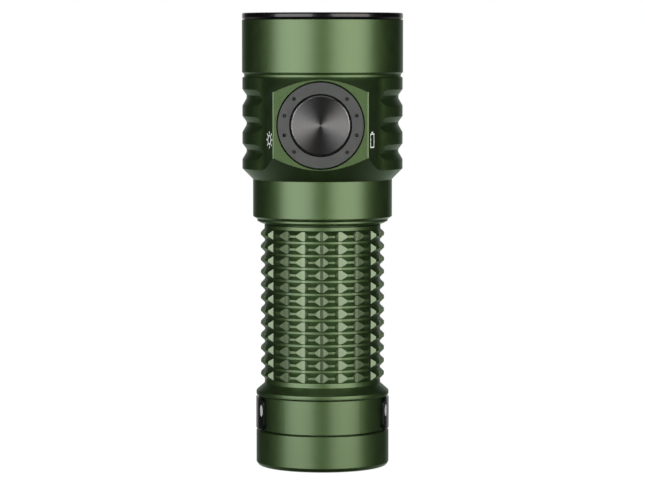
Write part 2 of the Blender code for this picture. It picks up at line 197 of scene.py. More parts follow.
def ring_grey():
    """Satin grey metal of the flat ring round the button."""
    return grained(
        "ring_grey", (0.112, 0.117, 0.116), (0.128, 0.132, 0.130), 0.14, (0.40, 0.48), 0.0025,
        Metallic=0.85, Specular_IOR_Level=0.5,
    )


def button_metal():
    """Metal spun in circles: fine rings about the switch's axis stretch its highlights into lobes."""
    look = Look("button_metal", Metallic=1.0, Anisotropic=0.91, Anisotropic_Rotation=0.25)
    x, z = look.axis("X"), look.math("SUBTRACT", look.axis("Z"), SWITCH_Z)
    radius = look.math("SQRT", look.math("ADD", look.math("MULTIPLY", x, x), look.math("MULTIPLY", z, z)))
    groove = look.math("SINE", look.math("MULTIPLY", radius, math.tau / 0.13))
    scratch = look.node("ShaderNodeTexNoise", {"noise_dimensions": "1D"}, W=radius, Scale=9.0, Detail=6.0)
    look.colour(look.blend(look.spread(scratch, 0, 1), (0.145, 0.143, 0.145), (0.195, 0.192, 0.195)))
    look.roughness(look.spread(scratch, 0.36, 0.43))
    look.bump(look.math("ADD", look.math("MULTIPLY", groove, 0.4), scratch), 0.0006)
    tangent = look.node("ShaderNodeTangent", {"direction_type": "RADIAL", "axis": "Y"})
    look.join(tangent, look.shader.inputs["Tangent"])
    return look


def button_edge():
    """The diamond-cut chamfer round the button."""
    return grained(
        "button_edge", (0.62, 0.62, 0.63), (0.70, 0.70, 0.70), 0.1, (0.16, 0.22), 0.0008, Metallic=1.0
    )


def clip_black():
    """Spring steel under a polished black coat."""
    return grained(
        "clip_black", (0.003, 0.003, 0.0035), (0.006, 0.0055, 0.0065), 0.25, (0.16, 0.24), 0.0012,
        IOR=1.35, Coat_Weight=0.7, Coat_Roughness=0.08, Coat_IOR=1.4,
    )


def lens_glass():
    """Coated glass with faint smears."""
    look = Look(
        "lens_glass", IOR=1.5, Transmission_Weight=1.0, Thin_Film_Thickness=320.0, Thin_Film_IOR=1.38
    )
    smear = look.noise(3.0, detail=3.0, stretch=(1, 0.35, 1))
    look.colour(look.blend(smear, (0.95, 0.98, 0.985), (0.98, 0.99, 1.0)))
    look.roughness(look.spread(smear, 0.0, 0.03))
    return look


def reflector_mirror():
    """A film of aluminium on smooth metal."""
    return grained(
        "reflector_mirror", (0.86, 0.86, 0.87), (0.91, 0.91, 0.91), 0.6, (0.02, 0.06), 0.0004, Metallic=1.0
    )


def copper_core():
    """Bare copper on its edge and underside, and a white solder mask on top."""
    look = grained(
        "copper_core", (0.50, 0.22, 0.11), (0.60, 0.29, 0.15), 0.3, (0.3, 0.42), 0.002, Metallic=0.9
    )
    masked = look.spread(look.axis("Z"), 0, 1, LED_BOARD_TOP - 0.03, LED_BOARD_TOP - 0.01)
    bare = look.shader.inputs["Base Color"].links[0].from_socket
    look.colour(look.blend(masked, bare, (0.78, 0.78, 0.75)))
    look.join(look.spread(masked, 0.9, 0.0, 0, 1), look.shader.inputs["Metallic"])
    return look


def phosphor():
    """The yellow converter, with its grains."""
    return grained("phosphor", (0.72, 0.56, 0.06), (0.86, 0.72, 0.14), 0.05, (0.5, 0.65), 0.004)


def clear_dome():
    """Clear silicone with a faint ripple."""
    look = Look("clear_dome", IOR=1.41, Transmission_Weight=1.0)
    ripple = look.noise(0.8)
    look.colour(look.blend(ripple, (0.96, 0.96, 0.93), (1.0, 1.0, 0.98)))
    look.roughness(look.spread(ripple, 0.0, 0.05))
    return look


def cell_sleeve():
    """Shrunk plastic sleeve, drawn tight with faint lengthwise stretch lines."""
    look = Look("cell_sleeve", Coat_Weight=0.4, Coat_Roughness=0.15)
    stretch = look.noise(1.2, detail=3.0, stretch=(1, 1, 0.08))
    look.colour(look.blend(look.spread(stretch, 0, 1), (0.006, 0.016, 0.040), (0.010, 0.024, 0.055)))
    look.roughness(look.spread(stretch, 0.28, 0.42))
    look.bump(stretch, 0.01)
    return look


def board_laminate():
    """Green solder mask over woven glass, whose weave shows faintly."""
    look = Look("board_laminate", Coat_Weight=0.3, Coat_Roughness=0.2)
    weave = look.node("ShaderNodeTexBrick", Vector=look.place, Scale=1.6, Mortar_Size=0.06)
    shade = look.math("MULTIPLY", look.noise(1.5), 0.6)
    look.colour(look.blend(look.math("ADD", shade, 0.2), (0.004, 0.060, 0.022), (0.010, 0.110, 0.045)))
    look.roughness(look.spread(shade, 0.35, 0.5, 0.2, 0.4))
    look.bump(look.node("ShaderNodeRGBToBW", Color=weave), 0.01)
    return look


LOOKS = {
    "anodised_green": anodised_green(),
    "anodised_cut": anodised_cut(),
    "anodised_black": anodised_black(),
    "ring_grey": ring_grey(),
    "button_metal": button_metal(),
    "button_edge": button_edge(),
    "clip_black": clip_black(),
    "lens_glass": lens_glass(),
    "reflector_mirror": reflector_mirror(),
    "seal_rubber": grained(
        "seal_rubber", (0.010, 0.010, 0.011), (0.020, 0.020, 0.021), 0.2, (0.55, 0.72), 0.008
    ),
    "copper_core": copper_core(),
    "contact_brass": grained(
        "contact_brass", (0.66, 0.47, 0.19), (0.76, 0.57, 0.26), 0.25, (0.18, 0.30), 0.001, Metallic=1.0
    ),
    "nickel": grained(
        "nickel", (0.50, 0.49, 0.46), (0.60, 0.59, 0.56), 0.25, (0.14, 0.26), 0.001, Metallic=1.0
    ),
    "board_laminate": board_laminate(),
    "black_plastic": grained(
        "black_plastic", (0.012, 0.012, 0.012), (0.022, 0.022, 0.022), 0.18, (0.42, 0.55), 0.006
    ),
    "white_plastic": grained(
        "white_plastic", (0.66, 0.66, 0.62), (0.76, 0.76, 0.73), 0.2, (0.4, 0.55), 0.004
    ),
    "clear_plastic": grained(
        "clear_plastic", (0.80, 0.84, 0.84), (0.90, 0.92, 0.92), 0.3, (0.15, 0.3), 0.003,
        Transmission_Weight=0.8, IOR=1.49,
    ),
    "emitter": phosphor(),
    "clear_dome": clear_dome(),
    "chip_black": grained(
        "chip_black", (0.014, 0.014, 0.015), (0.026, 0.026, 0.028), 0.1, (0.45, 0.6), 0.005
    ),
    "ferrite": grained("ferrite", (0.035, 0.034, 0.036), (0.060, 0.058, 0.060), 0.12, (0.5, 0.7), 0.01),
    "capacitor_tan": grained(
        "capacitor_tan", (0.30, 0.19, 0.09), (0.40, 0.27, 0.14), 0.15, (0.3, 0.45), 0.004
    ),
    "wire_red": grained(
        "wire_red", (0.32, 0.010, 0.006), (0.42, 0.018, 0.012), 0.2, (0.4, 0.55), 0.004
    ),
    "wire_black": grained(
        "wire_black", (0.010, 0.010, 0.010), (0.020, 0.020, 0.020), 0.2, (0.4, 0.55), 0.004
    ),
    "flex_amber": grained(
        "flex_amber", (0.26, 0.10, 0.012), (0.36, 0.16, 0.025), 0.4, (0.2, 0.35), 0.002, Coat_Weight=0.5
    ),
    "cell_sleeve": cell_sleeve(),
    # Light grey for the two ovals on the clip band: a painted highlight that stands for a glint near each
    # end of the glossy black band.
    "mark_grey": grained("mark_grey", (0.40, 0.40, 0.41), (0.48, 0.48, 0.49), 0.12, (0.3, 0.42), 0.002),
    "print_white": grained(
        "print_white", (0.82, 0.84, 0.82), (0.92, 0.94, 0.92), 0.12, (0.45, 0.6), 0.003
    ),
}


# ---- Mesh helpers ----


def placed(name, shape):
    """An object in the scene from a bmesh."""
    mesh = bpy.data.meshes.new(name)
    shape.to_mesh(mesh)
    shape.free()
    obj = bpy.data.objects.new(name, mesh)
    bpy.context.scene.collection.objects.link(obj)
    return obj


def apply_modifiers(piece):
    """Replaces a piece's mesh by what its modifiers make of it."""
    plain = piece.data
    seen = piece.evaluated_get(bpy.context.evaluated_depsgraph_get())
    piece.data = bpy.data.meshes.new_from_object(seen)
    piece.modifiers.clear()
    bpy.data.meshes.remove(plain)


def drill(piece, drills):
    """Cuts a bmesh out of a piece."""
    tool = placed("drills", drills)
    cut = piece.modifiers.new("Drills", "BOOLEAN")
    cut.object = tool
    cut.solver = "EXACT"
    apply_modifiers(piece)
    bpy.data.objects.remove(tool)


def finished(name, shape, look, node, hides=True, second_look=None, drills=None):
    """Turns a bmesh in millimetres into a piece that rides with a CAD node's body and stands for it.

    Its large faces get more say in its normals than its small ones. This comes before the change
    to metres, in which faces under a square millimetre would count for nothing.
    """
    bmesh.ops.remove_doubles(shape, verts=shape.verts, dist=1e-5)
    bmesh.ops.recalc_face_normals(shape, faces=shape.faces)
    piece = placed(name, shape)
    for each in (look, second_look):
        if each:
            piece.data.materials.append(LOOKS[each].material)
    if drills:
        drill(piece, drills)
    piece.data.shade_smooth()
    piece.data.set_sharp_from_angle(angle=SHARP)
    weighted = piece.modifiers.new("Normals", "WEIGHTED_NORMAL")
    weighted.keep_sharp = True
    apply_modifiers(piece)
    piece.data.transform(Matrix.Scale(MM, 4))
    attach(piece, BODY_OF[node])
    if hides:
        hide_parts(node)
    return piece


def rounded(corners, steps=4):
    """The outline through corners of (radius, height) or (radius, height, fillet), each fillet curved."""
    outline = []
    for i, (radius, height, *fillet) in enumerate(corners):
        here = np.array((radius, height), float)
        if not fillet:
            outline.append(here)
            continue
        before = np.array(corners[i - 1][:2], float) - here
        after = np.array(corners[(i + 1) % len(corners)][:2], float) - here
        lengths = np.linalg.norm(before), np.linalg.norm(after)
        bend = math.acos(np.clip(before @ after / (lengths[0] * lengths[1]), -1, 1))
        reach = min(fillet[0] / math.tan(bend / 2), 0.48 * min(lengths))
        start, end = here + before / lengths[0] * reach, here + after / lengths[1] * reach
        for step in range(steps + 1):
            t = step / steps
            outline.append(start * (1 - t) ** 2 + here * 2 * t * (1 - t) + end * t**2)
    return outline


def about_beam(turn, radius, height):
    """The point at a turn from the switch, for pieces turned about the beam."""
    return radius * math.sin(turn), -radius * math.cos(turn), height


def about_switch(turn, radius, height):
    """The point for pieces turned about the switch's axis, with the height as distance forward."""
    return radius * math.sin(turn), -height, SWITCH_Z + radius * math.cos(turn)


def grid(shape, columns, kept=None, closed=True, second=None):
    """Quads between columns of points, only where kept(i, j) is true if it is given.

    A quad takes the second look where second(i, j) is true. Rows close into a ring, and so do
    columns where closed is true.
    """
    rows = len(columns[0])
    verts = [[shape.verts.new(point) for point in column] for column in columns]
    last = len(columns) if closed else len(columns) - 1
    for i in range(last):
        right = verts[(i + 1) % len(columns)]
        for j in range(rows):
            if kept is None or kept(i, j):
                k = (j + 1) % rows
                face = shape.faces.new((verts[i][j], verts[i][k], right[k], right[j]))
                face.material_index = int(bool(second and second(i, j)))
    return verts


def turned(name, corners, look, node, place=about_beam, segments=SEGMENTS, steps=4, **options):
    """A turned piece from an outline that runs once round its section, or from axis to axis."""
    outline = rounded(corners, steps)
    columns = [
        [place(math.tau * i / segments, radius, height) for radius, height in outline]
        for i in range(segments)
    ]
    solid = outline[0][0] == 0
    shape = bmesh.new()
    grid(shape, columns, kept=(lambda i, j: j < len(outline) - 1) if solid else None)
    return finished(name, shape, look, node, **options)


def ring(name, inner, outer, low, high, look, node, fillet=0.1, **options):
    """A plain ring between two radii and two heights."""
    corners = [(outer, high, fillet), (outer, low, fillet), (inner, low, fillet), (inner, high, fillet)]
    return turned(name, corners, look, node, **options)


def disc(name, radius, low, high, look, node, fillet=0.1, **options):
    """A plain round plate or pin between two heights."""
    corners = [(0, high), (radius, high, fillet), (radius, low, fillet), (0, low)]
    return turned(name, corners, look, node, **options)


def o_ring(name, radius, thickness, height, node):
    """A rubber ring whose round section has the radius called thickness."""
    sides = 20
    section = []
    for i in range(sides):
        angle = -math.tau * i / sides
        section.append((radius + thickness * math.cos(angle), height + thickness * math.sin(angle)))
    return turned(name, section, "seal_rubber", node)


def swept(shape, centres, sections):
    """A closed solid through sections, each a list of offsets from its centre."""
    columns = [[centre + offset for offset in section] for centre, section in zip(centres, sections)]
    verts = grid(shape, columns, closed=False)
    shape.faces.new(verts[0])
    shape.faces.new(list(reversed(verts[-1])))


def thin_solid(shape, back, front):
    """A thin closed solid between two loops of points."""
    loops = [[shape.verts.new(point) for point in loop] for loop in (back, front)]
    shape.faces.new(loops[0])
    shape.faces.new(loops[1])
    count = len(loops[0])
    for i in range(count):
        k = (i + 1) % count
        shape.faces.new((loops[0][i], loops[0][k], loops[1][k], loops[1][i]))


def coil(name, radii, heights, turns, thickness, look, node, steps=40):
    """A compression spring from one radius and height to another; thickness is its wire's radius."""
    shape = bmesh.new()
    up = Vector((0, 0, 1))
    around = [math.tau * k / 12 for k in range(12)]
    centres, sections = [], []
    for i in range(turns * steps + 1):
        along = i / (turns * steps)
        angle = math.tau * turns * along
        radius = radii[0] + (radii[1] - radii[0]) * along
        height = heights[0] + (heights[1] - heights[0]) * along
        outward = Vector((math.cos(angle), math.sin(angle), 0))
        centres.append(outward * radius + up * height)
        sections.append([outward * thickness * math.cos(t) + up * thickness * math.sin(t) for t in around])
    swept(shape, centres, sections)
    return finished(name, shape, look, node)


# ---- Head ----

RIDGE = 16.43  # radius of the four ridges
VALLEY_DEPTH = 0.86
BAND_TOP, BAND_BOTTOM = 79.7, 61.2  # the ridged band, which the boss stands across
VALLEYS = (75.7, 70.25, 64.67)  # heights of the valleys' middles
VALLEY_HALF = (1.7, 1.65, 1.62)  # half of each valley's height
VALLEY_END = 46.4  # degrees from the switch where a valley's round end reaches
VALLEY_FULL = 58.4  # and where it has its full height
FACE_HALF = 9.37  # half the width of the boss's flat face
BEVEL_CORNER = (9.622, 16.445)  # x and distance forward, where the face's side bevel meets the wall
WALL_START = (9.56, 16.6)  # x and distance forward of a point on the line of the boss's side wall
WALL_SLOPE = math.radians(22)  # of the wall, from straight back
FILLET = 8.0  # radius where the boss's walls run into the ridges
POCKET = 8.82  # radius of the round pocket that holds the switch
POCKET_FLOOR = 12.4  # how far forward its floor is
ICON_Z = 67.5  # height of the icons' middles
ICON_SET_BACK = 2.0  # from the boss's edge to an icon's middle, along its wall

# Across a valley: height in half valleys from its middle, and share of its depth
VALLEY_SHAPE = (
    (1.06, 0.0), (0.985, 0.06), (0.36, 0.93), (0.27, 1.0),
    (-0.02, 1.0), (-0.12, 0.94), (-0.92, 0.06), (-1.03, 0.0),
)


def crossing(turn, start, along):
    """Distance from the beam's axis, in the direction of a turn, to a line in (x, forward)."""
    facing = (math.sin(turn), math.cos(turn))
    return (start[0] * along[1] - start[1] * along[0]) / (facing[0] * along[1] - facing[1] * along[0])


def wall_fillet():
    """Centre of the round corner between the boss's wall and the ridges, in (x, forward), and its ends."""
    along = np.array((math.sin(WALL_SLOPE), -math.cos(WALL_SLOPE)))
    outward = np.array((math.cos(WALL_SLOPE), math.sin(WALL_SLOPE)))
    offset = np.array(WALL_START) + outward * FILLET
    half = offset @ along
    reach = -half - math.sqrt(half**2 - offset @ offset + (RIDGE + FILLET) ** 2)
    centre = offset + along * reach
    on_wall = centre - outward * FILLET
    on_ridge = centre * RIDGE / (RIDGE + FILLET)
    return centre, math.atan2(*on_wall), math.atan2(*on_ridge)


FILLET_CENTRE, WALL_TURN, RIDGE_TURN = wall_fillet()
FACE_TURN = math.atan2(FACE_HALF, BOSS_FACE)
BEVEL_TURN = math.atan2(*BEVEL_CORNER)


def body_radius(turn):
    """Radius of the head across its ridges and its boss, at a turn from the switch."""
    turn = abs(turn)
    if turn <= FACE_TURN:
        return BOSS_FACE / math.cos(turn)
    if turn <= BEVEL_TURN:
        corner = (FACE_HALF, BOSS_FACE)
        return crossing(turn, corner, (BEVEL_CORNER[0] - corner[0], BEVEL_CORNER[1] - corner[1]))
    if turn <= WALL_TURN:
        return crossing(turn, WALL_START, (math.sin(WALL_SLOPE), -math.cos(WALL_SLOPE)))
    if turn >= RIDGE_TURN:
        return RIDGE
    along = FILLET_CENTRE @ np.array((math.sin(turn), math.cos(turn)))
    return along - math.sqrt(along**2 - FILLET_CENTRE @ FILLET_CENTRE + FILLET**2)


def head_turns():
    """The turns of the head's columns, set closer where the boss and the valleys' ends need them."""
    end, full = math.radians(VALLEY_END), math.radians(VALLEY_FULL)
    turns = list(np.linspace(0, FACE_TURN, 20))
    turns.append(BEVEL_TURN)
    turns += list(np.linspace(BEVEL_TURN, WALL_TURN, 8)[1:-1])
    turns += [end - (end - WALL_TURN) * share**1.4 for share in np.linspace(1, 0, 6)[:-1]]
    turns += [end + (full - end) * share**1.3 for share in np.linspace(0, 1, 15)]
    turns += list(np.linspace(full, math.pi, 80)[1:])
    return [-t for t in reversed(turns[1:-1])] + turns


def head_column(turn):
    """Points down the head's outside at one turn, and back up its inside.

    The band between the ridges' ends grows shorter where the boss stands out of it, because the
    boss's ends slope at 45 degrees. A valley's opening goes from 0 at its round end to 1, and its
    depth is full sooner than its height.
    """
    radius = body_radius(turn)
    swell = radius - RIDGE
    high, low = BAND_TOP - swell, BAND_BOTTOM + swell
    band_middle = (BAND_TOP + BAND_BOTTOM) / 2
    middle, scale = (high + low) / 2, (high - low) / (BAND_TOP - BAND_BOTTOM)
    past = (VALLEY_FULL - math.degrees(abs(turn))) / (VALLEY_FULL - VALLEY_END)
    opening = math.sqrt(max(0.0, 1 - max(past, 0.0) ** 2))
    depth = VALLEY_DEPTH * min(1.0, 2.2 * opening)
    points = [
        (16.3, 91.62), (16.43, 91.6), (16.48, 91.56), (16.5, 91.5), (16.5, 80.97), (16.48, 80.91),
        (16.42, 80.84), (16.06, 80.44), (16.05, 80.02), (16.38, 79.82), (radius, high),
    ]
    for centre, half in zip(VALLEYS, VALLEY_HALF):
        for across, share in VALLEY_SHAPE:
            height = centre + across * half * max(0.3, opening)
            points.append((radius - depth * share, middle + (height - band_middle) * scale))
    taper_and_neck = [
        (radius, low), (14.35, 59.09), (14.27, 58.92), (14.27, 51.5), (14.22, 51.38), (13.46, 50.9),
        (13.4, 50.83), (13.4, 50.48), (13.34, 50.41), (12.5, 49.98), (12.2, 49.9),
    ]
    inside = [
        (11.3, 49.9), (11.3, 59.05), (11.0, 59.05), (11.0, 67.2), (1.5, 67.2), (1.5, 70.0), (11.2, 70.0),
        (11.2, 79.5), (14.75, 87.0), (14.75, 88.2), (15.35, 88.2), (15.35, 91.6), (15.45, 91.7),
    ]
    return points + taper_and_neck + inside


def open_face(shape):
    """Fills the boss's flat face round the switch's pocket, and gives the pocket its wall and floor."""
    border = [edge for edge in shape.edges if edge.is_boundary]
    rims = (
        (POCKET + 0.1, BOSS_FACE),
        (POCKET + 0.02, BOSS_FACE - 0.08),
        (POCKET, BOSS_FACE - 0.2),
        (POCKET, POCKET_FLOOR),
    )
    count = 128  # facets round the pocket
    loops = [
        [shape.verts.new(about_switch(math.tau * i / count, radius, height)) for i in range(count)]
        for radius, height in rims
    ]
    for outer, inner in zip(loops, loops[1:]):
        for i in range(count):
            k = (i + 1) % count
            shape.faces.new((outer[i], outer[k], inner[k], inner[i]))
    shape.faces.new(loops[-1])
    mouth = [shape.edges.get((loops[0][i], loops[0][(i + 1) % count])) for i in range(count)]
    bmesh.ops.triangle_fill(shape, use_beauty=True, edges=border + mouth, normal=(0, -1, 0))


def head():
    """The head's one machined shell, with the boss's flat face left open and then filled."""
    turns = head_turns()
    columns = [[about_beam(turn, *point) for point in head_column(turn)] for turn in turns]
    first = 10  # index of the band's top point in a column
    last = first + 1 + len(VALLEYS) * len(VALLEY_SHAPE)

    def kept(i, j):
        """Whether a quad is off the boss's flat face."""
        on_face = abs(turns[i]) <= FACE_TURN + 1e-9 and abs(turns[(i + 1) % len(turns)]) <= FACE_TURN + 1e-9
        return not (on_face and first <= j < last)

    shape = bmesh.new()
    grid(shape, columns, kept)
    bmesh.ops.delete(shape, geom=[v for v in shape.verts if not v.link_faces], context="VERTS")
    open_face(shape)
    return finished("head_shell", shape, "anodised_green", "head_housing")


def icon(name, polygons, side):
    """Thin printed shapes on a side wall of the boss, given as (across, height) from the icon's middle."""
    across = Vector((side * math.sin(WALL_SLOPE), math.cos(WALL_SLOPE), 0))
    outward = Vector((side * math.cos(WALL_SLOPE), -math.sin(WALL_SLOPE), 0))
    edge = Vector((side * WALL_START[0], -WALL_START[1], ICON_Z))
    middle = edge + across * ICON_SET_BACK
    shape = bmesh.new()
    for polygon in polygons:
        back, front = (
            [middle + across * u + Vector((0, 0, v)) + outward * lift for u, v in polygon]
            for lift in (-0.02, 0.02)
        )
        thin_solid(shape, back, front)
    piece = finished(name, shape, "print_white", "head_housing", hides=False)
    return piece


def bar(start, end, width):
    """A straight stroke as a polygon."""
    start, end = np.array(start, float), np.array(end, float)
    along = (end - start) / np.linalg.norm(end - start)
    side = np.array((-along[1], along[0])) * width / 2
    return [start + side, end + side, end - side, start - side]


def icons():
    """A sun on the left wall and a battery on the right one, as plain symbols."""
    count = 24
    circle = [(math.cos(math.tau * i / count), math.sin(math.tau * i / count)) for i in range(count)]
    sun = [
        [np.array(a) * 1.0, np.array(b) * 1.0, np.array(b) * 0.74, np.array(a) * 0.74]
        for a, b in zip(circle, circle[1:] + circle[:1])
    ]
    for i in range(8):
        facing = np.array((math.cos(math.tau * i / 8), math.sin(math.tau * i / 8)))
        sun.append(bar(facing * 1.2, facing * 1.72, 0.26))
    icon("icon_brightness", sun, -1)
    wide, top, low, stroke = 0.88, 1.25, -1.62, 0.24
    battery = [
        bar((-wide, low), (-wide, top), stroke),
        bar((wide, low), (wide, top), stroke),
        bar((-wide + stroke / 2, low + stroke / 2), (wide - stroke / 2, low + stroke / 2), stroke),
        bar((-wide + stroke / 2, top - stroke / 2), (wide - stroke / 2, top - stroke / 2), stroke),
        bar((-0.42, top + 0.18), (0.42, top + 0.18), 0.34),
    ]
    icon("icon_charge", battery, 1)


def bezel_and_lens():
    """The black bezel, and the lens and its seal, which it holds down."""
    bezel_outline = [
        (16.24, 93.0, 0.1), (16.42, 92.9), (16.5, 92.68, 0.1), (16.5, 92.12, 0.1), (16.42, 91.86),
        (16.36, 91.68), (15.2, 91.68), (15.2, 89.2), (14.75, 89.2), (14.75, 92.0), (13.6, 92.0, 0.05),
        (13.6, 92.3, 0.1), (14.3, 93.0, 0.1),
    ]
    turned("bezel_collar", bezel_outline, "anodised_black", "bezel_ring")
    disc("lens_disc", 14.6, 89.15, 91.0, "lens_glass", "front_lens", fillet=0.15)
    o_ring("lens_seal", 14.0, 0.4, 91.5, "lens_o_ring")


def reflector():
    """A parabolic mirror with a thin wall and a flange at its rim."""
    vertex, growth, wall = 69.75, 10.09, 0.8
    low, flange, top = 71.9, 88.35, 89.0
    count = 40

    def bowl(height):
        """The mirror's radius, whose square grows evenly with the height over its vertex."""
        return math.sqrt(growth * (height - vertex))

    heights = [low + (flange - low) * (i / count) ** 1.5 for i in range(count + 1)]
    outer = [(bowl(z) + wall, z) for z in reversed(heights)]
    inner = [(bowl(z), z) for z in heights]
    rim = [(bowl(top), top, 0.05), (15.0, top, 0.1), (15.0, flange, 0.1)]
    turned("reflector_bowl", rim + outer + inner, "reflector_mirror", "reflector")


def emitter():
    """The light's emitter: a ceramic base, a square of phosphor and a clear dome."""
    plates = (
        ("led_base", 5.0, 71.15, 71.78, "white_plastic"),
        ("led_phosphor", 3.2, 71.78, 71.85, "emitter"),
    )
    for name, size, low, high, look in plates:
        shape = bmesh.new()
        bmesh.ops.create_cube(shape, size=1)
        bmesh.ops.scale(shape, vec=(size, size, high - low), verts=shape.verts)
        bmesh.ops.translate(shape, vec=(0, 0, (low + high) / 2), verts=shape.verts)
        upright = [e for e in shape.edges if abs(e.verts[0].co.z - e.verts[1].co.z) > 0.01]
        bmesh.ops.bevel(shape, geom=upright, offset=0.25, segments=4, affect="EDGES", profile=0.5)
        finished(name, shape, look, "led_emitter")
    dome = [(2.2 * math.cos(t), 71.86 + 1.5 * math.sin(t)) for t in np.linspace(math.pi / 2, 0, 12)]
    dome[0] = (0, dome[0][1])
    turned("led_dome", dome + [(0, 71.86)], "clear_dome", "led_emitter", segments=64)


# ---- Switch ----

HOLE_CIRCLE, HOLE = 7.5, 0.36  # radii of the circle of indicator holes and of each hole


def pins(radius, back, front):
    """Round pins at the places of the indicator holes, from one distance forward to another."""
    shape = bmesh.new()
    for side in (0, math.pi):
        for angle in (-45, -15, 15, 45):
            turn = side + math.radians(angle)
            made = bmesh.ops.create_cone(
                shape, cap_ends=True, segments=24, radius1=radius, radius2=radius, depth=front - back
            )["verts"]
            bmesh.ops.rotate(shape, verts=made, matrix=Matrix.Rotation(math.pi / 2, 3, "X"))
            x = HOLE_CIRCLE * math.cos(turn)
            z = SWITCH_Z + HOLE_CIRCLE * math.sin(turn)
            bmesh.ops.translate(shape, verts=made, vec=(x, -(back + front) / 2, z))
    return shape


def drilled_ring():
    """The flat ring round the button, drilled with eight indicator holes."""
    turned(
        "switch_ring",
        [(8.6, 16.6, 0.06), (8.6, 15.2), (6.3, 15.2), (6.3, 16.6, 0.06)],
        "ring_grey", "indicator_ring", place=about_switch, drills=pins(HOLE, 13, 19),
    )


def button():
    """The button in three meshes: its spun face, its bright chamfer and its body."""
    face, top = 5.72, 16.9
    dish = [
        (0, top - 0.06), (face * 0.5, top - 0.045), (face * 0.8, top - 0.02), (face, top),
        (face, top - 0.25), (0, top - 0.25),
    ]
    turned("button_face", dish, "button_metal", "button_cap", place=about_switch)
    turned(
        "button_chamfer",
        [(face + 0.01, top, 0.03), (5.98, top - 0.22, 0.05), (6.0, top - 0.4), (face + 0.01, top - 0.4)],
        "button_edge", "button_cap", place=about_switch,
    )
    turned(
        "button_body",
        [
            (0, 16.64), (5.95, 16.64), (5.95, 15.05), (6.9, 15.05, 0.05), (6.9, 14.65, 0.05), (5.2, 14.65),
            (5.2, 16.0), (1.2, 16.0), (1.2, 15.0), (0, 15.0),
        ],
        "anodised_black", "button_cap", place=about_switch,
    )


def switch_insides():
    """The boot under the button, the light guide with its pins, and the plunger."""
    turned(
        "switch_boot",
        [
            (3.4, 15.15, 0.1), (3.4, 13.75, 0.1), (6.9, 13.75, 0.1), (6.9, 13.25, 0.1),
            (3.0, 13.25), (3.0, 14.75), (1.45, 14.75), (1.45, 15.15, 0.1),
        ],
        "seal_rubber", "button_seal", place=about_switch, segments=96,
    )
    ring(
        "light_pipe", 7.05, 8.5, 14.15, 15.05, "clear_plastic", "light_guide",
        place=about_switch, segments=96,
    )
    finished("light_pins", pins(HOLE / 3, 15.05, 16.2), "clear_plastic", "light_guide")
    disc(
        "plunger_pin", 0.8, 14.0, 14.85, "white_plastic", "switch_plunger",
        place=about_switch, segments=32,
    )


# ---- Tube, tail and clip ----

GROOVES = 20  # axial grooves that cut the grip's ridges into teeth
GROOVE_TURN = math.radians(0.5)  # where the front groove is
GROOVE_FLOOR = 12.04
GROOVE_HALF = 0.34  # half the width of a groove's floor
FLANK_END = (1.2, 12.671)  # across and out from the groove's middle, a point on its flank
RIDGES = 12
RIDGE_PITCH = 2.615
TOP_RIDGE = 47.82
ROOT, CREST = 11.86, 12.73
ROOT_HALF, CREST_HALF = 1.1, 0.22
TAIL = 13.63


def flank_turn(radius):
    """Half the angle of a groove at a radius, from its middle to where its flank reaches."""
    slope = (FLANK_END[0] - GROOVE_HALF) / (FLANK_END[1] - GROOVE_FLOOR)
    rise = max(radius - GROOVE_FLOOR, 0.004)
    return math.atan2(GROOVE_HALF + slope * rise, GROOVE_FLOOR + rise)


def tube_rows():
    """Points down the tube's outside, as (radius, height, whether the grooves cut there)."""
    rows = [(10.7, 58.9, False), (11.0, 58.6, False)]
    rows += thread(11.0, 58.2, 53.0)
    rows += [(11.0, 52.1, False), (10.35, 52.1, False), (10.35, 51.1, False), (11.0, 51.1, False)]
    rows += [(11.0, 49.7, False), (11.84, 49.7, False), (11.92, 49.62, False), (11.92, 48.95, False)]
    edge = CREST_HALF + (ROOT_HALF - CREST_HALF) * (CREST - GROOVE_FLOOR) / (CREST - ROOT)
    slope = [(ROOT, ROOT_HALF), (GROOVE_FLOOR, edge), (CREST, CREST_HALF)]
    for i in range(RIDGES):
        crest = TOP_RIDGE - RIDGE_PITCH * i
        rows += [(radius, crest + half, True) for radius, half in slope]
        rows += [(radius, crest - half, True) for radius, half in reversed(slope)]
    plain = [
        (11.9, 17.62), (11.9, 17.12), (11.95, 17.0), (12.4, 16.6), (13.0, 16.08), (13.4, 15.72),
        (13.58, 15.54), (TAIL, 15.42), (TAIL, 14.84), (13.58, 14.74), (13.3, 14.5), (13.2, 14.46),
        (12.95, 14.46), (12.95, 7.64), (12.93, 7.62), (11.6, 7.62), (11.6, 7.15), (10.8, 7.15),
        (10.8, 6.15), (11.6, 6.15),
    ]
    rows += [(*row, False) for row in plain]
    rows += thread(11.6, 5.9, 3.4)
    bore = [(11.6, 3.2), (11.3, 2.9), (9.6, 2.9), (9.5, 3.0), (9.5, 58.8), (9.6, 58.9)]
    return rows + [(*row, False) for row in bore]


def thread(radius, high, low, pitch=0.9, depth=0.4):
    """V-shaped rings that stand for a thread."""
    rows = []
    for i in range(int((high - low) / pitch)):
        top = high - pitch * i
        rows.append((radius, top, False))
        rows.append((radius - depth, top - pitch * 0.45, False))
        rows.append((radius, top - pitch * 0.9, False))
    return rows


# The columns of one groove: the line that each follows, and its side of the groove's middle
GROOVE_COLUMNS = (
    ("half", -1), ("mid", -1), ("flank", -1), ("floor", -1),
    ("centre", 1), ("floor", 1), ("flank", 1), ("mid", 1),
)


